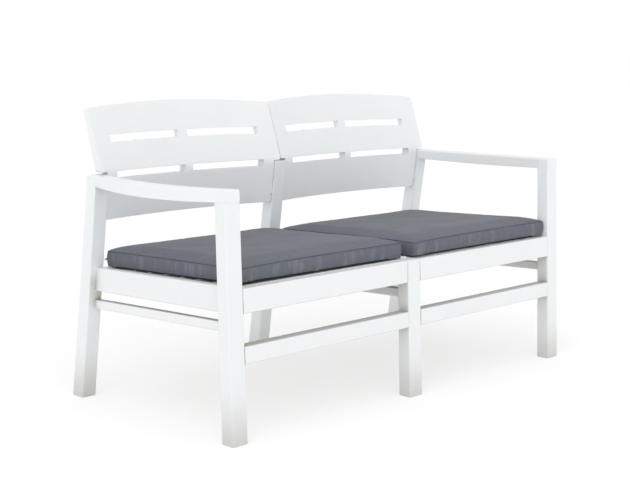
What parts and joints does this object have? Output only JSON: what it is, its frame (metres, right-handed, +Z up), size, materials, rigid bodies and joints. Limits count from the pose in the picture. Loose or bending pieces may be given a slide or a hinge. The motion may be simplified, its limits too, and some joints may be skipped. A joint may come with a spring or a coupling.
{
  "type": "garden bench",
  "caption": "Moulded-plastic garden bench for two people side by side, with slotted, hollowed backs, bowed armrests and loose seat cushions that lift off.",
  "frame": {"origin": "on the ground, under the middle of the footprint", "axes": "+X along the bench to the sitter's left as seen from behind, that is to the right when the bench is seen from the front; +Y from the front legs to the rear legs; +Z up"},
  "size_m": [1.386, 0.686, 0.8085],
  "materials": {
    "white_plastic": "white injection-moulded polypropylene, satin, with softly rounded edges",
    "cushion_fabric": "anthracite-grey coated polyester, plain weave, with a piped top seam",
    "screw_steel": "zinc-plated steel",
    "foot_plastic": "pale grey moulded polyethylene, matt"
  },
  "bodies": {
    "bench_frame": {"armrest_and_rear_leg_left": "white_plastic", "armrest_and_rear_leg_right": "white_plastic", "armrest_screws": "screw_steel", "back_panel_left": "white_plastic", "back_panel_right": "white_plastic", "back_panel_screws": "screw_steel", "foot_plugs": "foot_plastic", "front_leg_left": "white_plastic", "front_leg_middle": "white_plastic", "front_leg_right": "white_plastic", "front_rail_left": "white_plastic", "front_rail_right": "white_plastic", "front_stretcher_left": "white_plastic", "front_stretcher_right": "white_plastic", "rear_leg_middle": "white_plastic", "rear_rail_left": "white_plastic", "rear_rail_right": "white_plastic", "seat_panel_left": "white_plastic", "seat_panel_right": "white_plastic", "seat_panel_screws": "screw_steel", "side_apron_left": "white_plastic", "side_apron_middle": "white_plastic", "side_apron_right": "white_plastic", "side_bar_left": "white_plastic", "side_bar_middle": "white_plastic", "side_bar_right": "white_plastic", "side_bar_screws": "screw_steel"},
    "left_seat_cushion": {"cushion_left": "cushion_fabric"},
    "right_seat_cushion": {"cushion_right": "cushion_fabric"}
  },
  "joints": [
    {"name": "left_cushion_lift", "type": "slide", "parent": "bench_frame", "child": "left_seat_cushion", "axis": [0, -0.4104, 0.9119], "range_m": [0, 0.26]},
    {"name": "right_cushion_lift", "type": "slide", "parent": "bench_frame", "child": "right_seat_cushion", "axis": [0, -0.4104, 0.9119], "range_m": [0, 0.26]}
  ]
}
